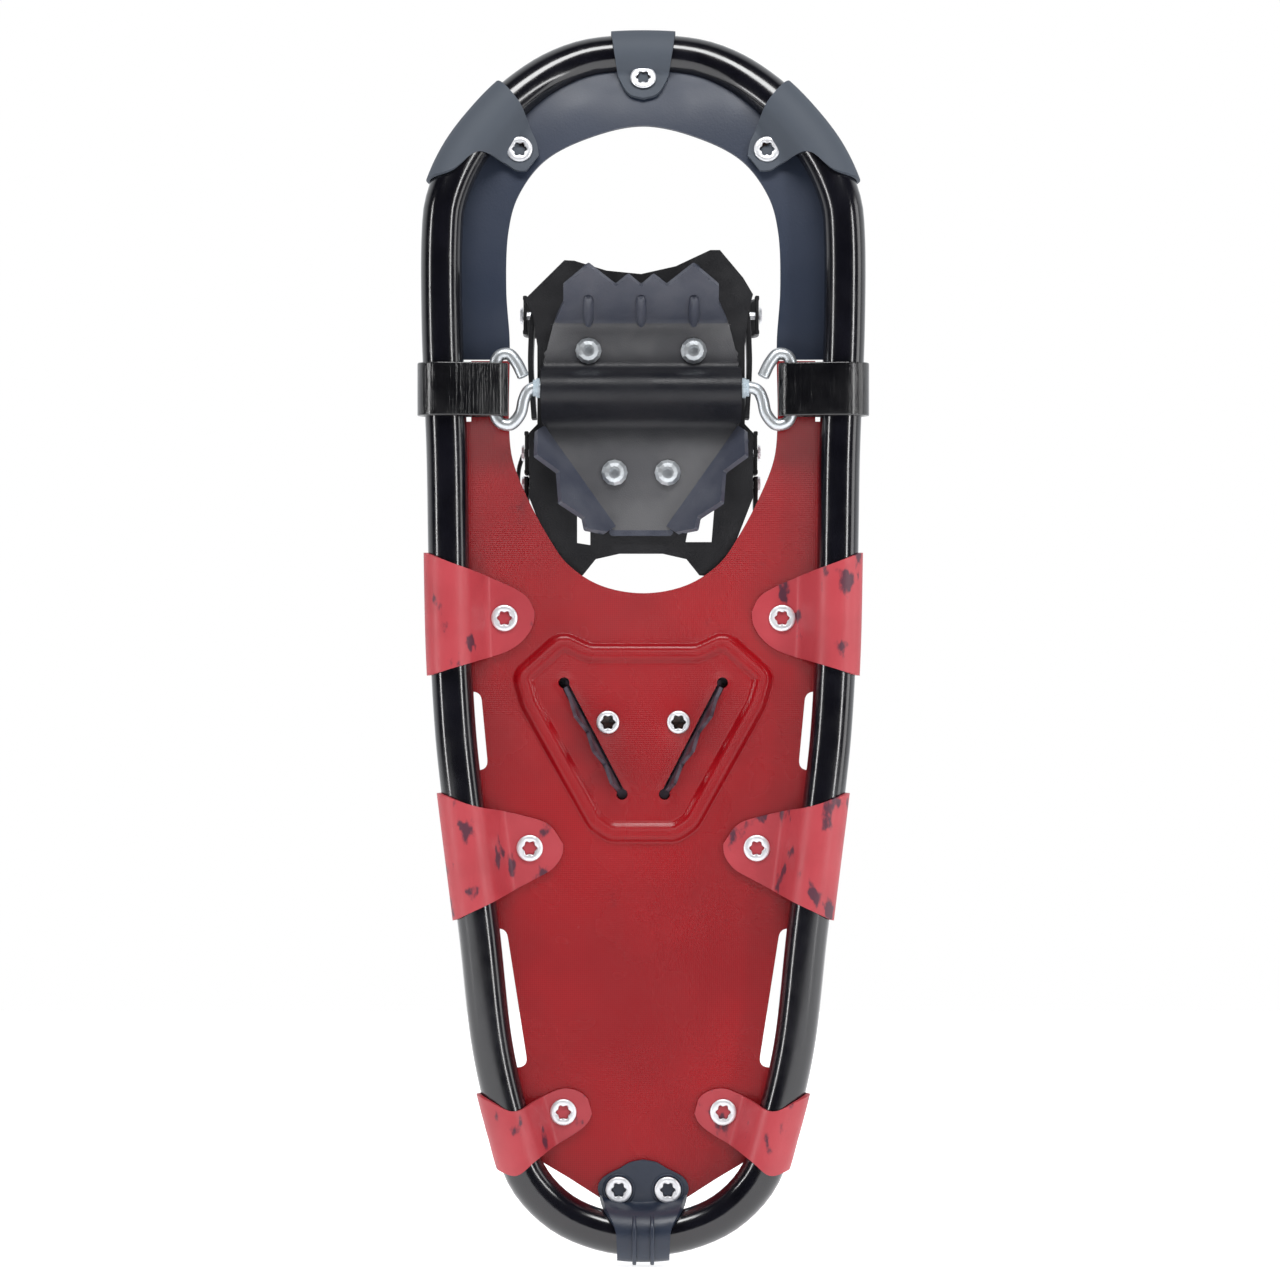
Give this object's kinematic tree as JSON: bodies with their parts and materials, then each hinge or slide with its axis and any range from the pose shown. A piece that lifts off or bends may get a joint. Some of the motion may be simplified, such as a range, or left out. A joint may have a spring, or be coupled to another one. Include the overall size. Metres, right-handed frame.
{
  "type": "snowshoe",
  "caption": "Tube-frame snowshoe with riveted sheet decks, folded frame wraps and a toe binding with a toothed crampon that pivots on a hooked axle.",
  "frame": {"origin": "on the middle plane of the tube, just below the front edge of the toe opening, where a peg holds the shoe up", "axes": "+Z toward the toe, +X across the shoe, +Y out of the boot side, -Y out of the sole side"},
  "size_m": [0.2078, 0.1161, 0.5723],
  "materials": {
    "tube": "gloss black paint over aluminium tube",
    "toe_deck": "smooth slate-grey coated sheet",
    "red_deck": "deep red coated sheet with a fine weave",
    "red_wrap": "lighter red coated sheet, satin",
    "slate": "slate-grey moulded plastic, satin",
    "rivet": "bright rolled metal",
    "zinc": "bright zinc plating",
    "lever": "satin cast metal",
    "cord": "glossy black urethane band",
    "crampon": "satin black powder coat on steel",
    "blade": "worn dark coat on steel",
    "base": "matt black moulded plastic",
    "strap": "matt black urethane strap",
    "pad": "dark grey ribbed rubber",
    "bushing": "milky translucent plastic"
  },
  "bodies": {
    "frame": {"frame_tube": "tube", "toe_deck": "toe_deck", "main_deck": "red_deck", "tail_clip": "slate", "toe_wrap_left": "slate", "toe_wrap_center": "slate", "toe_wrap_right": "slate", "deck_wrap_left_1": "red_wrap", "deck_wrap_left_2": "red_wrap", "deck_wrap_left_3": "red_wrap", "deck_wrap_right_1": "red_wrap", "deck_wrap_right_2": "red_wrap", "deck_wrap_right_3": "red_wrap", "rivet_deck_left_1": "rivet", "rivet_deck_left_2": "rivet", "rivet_deck_left_3": "rivet", "rivet_deck_right_1": "rivet", "rivet_deck_right_2": "rivet", "rivet_deck_right_3": "rivet", "rivet_heel_left": "rivet", "rivet_heel_right": "rivet", "rivet_tail_left": "rivet", "rivet_tail_right": "rivet", "rivet_toe_left": "rivet", "rivet_toe_center": "rivet", "rivet_toe_right": "rivet", "toe_cord_left": "cord", "toe_cord_right": "cord", "axle_rod": "zinc", "heel_crampon": "blade", "heel_pad": "pad"},
    "binding": {"toe_crampon": "crampon", "binding_base": "base", "axle_bushing_left": "bushing", "axle_bushing_right": "bushing", "binding_bolt_front_left": "zinc", "binding_bolt_front_right": "zinc", "binding_bolt_rear_left": "zinc", "binding_bolt_rear_right": "zinc", "toe_harness": "base", "toe_strap": "strap", "instep_strap": "strap", "heel_strap": "strap", "strap_tail": "strap", "strap_rivet_instep_left": "rivet", "strap_rivet_instep_right": "rivet", "strap_rivet_heel_left": "rivet", "strap_rivet_heel_right": "rivet", "strap_rivet_toe_left": "rivet", "strap_rivet_toe_right": "rivet", "toe_buckle": "base", "instep_buckle": "base", "heel_buckle": "base"},
    "toe_lever": {"toe_buckle_lever": "lever"},
    "instep_lever": {"instep_buckle_lever": "lever"},
    "heel_lever": {"heel_buckle_lever": "lever"}
  },
  "joints": [
    {"name": "binding_pivot", "type": "hinge", "parent": "frame", "child": "binding", "pos_m": [-0.001, 0, -0.122], "axis": [1, 0, 0], "range_deg": [0, 90]},
    {"name": "toe_lever_hinge", "type": "hinge", "parent": "binding", "child": "toe_lever", "pos_m": [0.007, 0.0782, -0.087], "axis": [0, 0, -1], "range_deg": [0, 100]},
    {"name": "instep_lever_hinge", "type": "hinge", "parent": "binding", "child": "instep_lever", "pos_m": [0.007, 0.0962, -0.151], "axis": [0, 0, -1], "range_deg": [0, 100]},
    {"name": "heel_lever_hinge", "type": "hinge", "parent": "binding", "child": "heel_lever", "pos_m": [-0.0604, 0.0285, -0.198], "axis": [0, 1, 0], "range_deg": [0, 100]}
  ]
}
